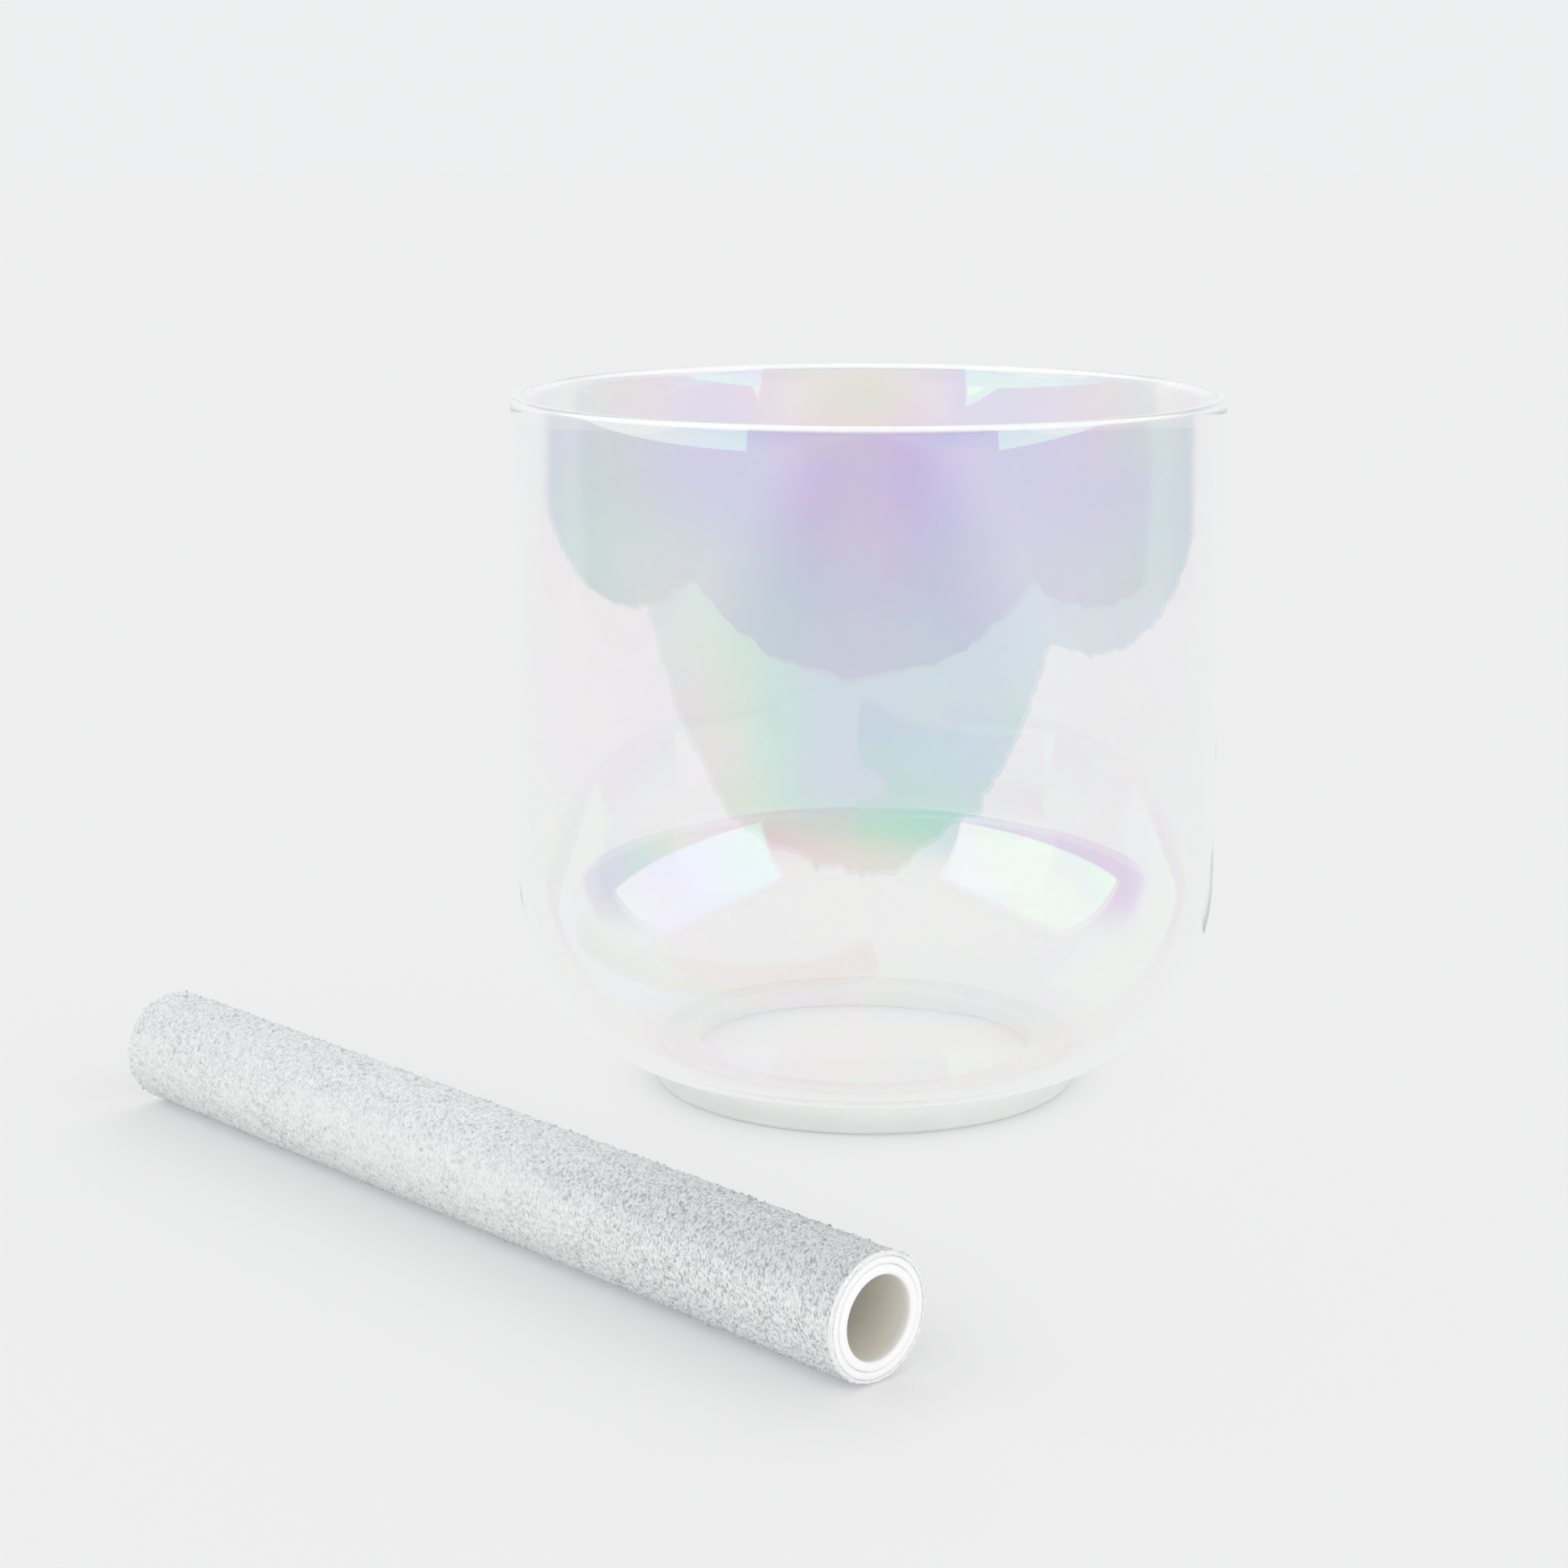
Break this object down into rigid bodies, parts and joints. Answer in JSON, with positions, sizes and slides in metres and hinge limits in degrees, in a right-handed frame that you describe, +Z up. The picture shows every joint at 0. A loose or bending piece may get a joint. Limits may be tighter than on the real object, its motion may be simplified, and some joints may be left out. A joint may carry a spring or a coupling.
{
  "type": "crystal singing bowl with mallet",
  "caption": "Clear quartz singing bowl with an iridescent film, standing on a soft ring, with a hollow suede-covered mallet lying beside it.",
  "frame": {"origin": "centre of the support ring's underside, on the table, under the middle of the bowl", "axes": "+Z up along the bowl's axis, -Y towards the side where the mallet lies, +X to the right seen from there"},
  "size_m": [0.3132, 0.3441, 0.2014],
  "materials": {
    "silicone": "translucent satin",
    "coated_quartz": "polished, with an iridescent film",
    "tube_plastic": "satin",
    "foam": "matte closed-cell foam",
    "suede": "napped suede"
  },
  "bodies": {
    "ring": {"support_ring": "silicone"},
    "bowl": {"quartz_bowl": "coated_quartz"},
    "mallet": {"mallet_core_tube": "tube_plastic", "mallet_padding": "foam", "mallet_suede_cover": "suede"}
  },
  "joints": [
    {"name": "bowl_lift", "type": "slide", "parent": "ring", "child": "bowl", "axis": [0, 0, 1], "range_m": [0, 0.25]},
    {"name": "mallet_lift", "type": "slide", "parent": "ring", "child": "mallet", "axis": [0, 0, 1], "range_m": [0, 0.25]}
  ]
}
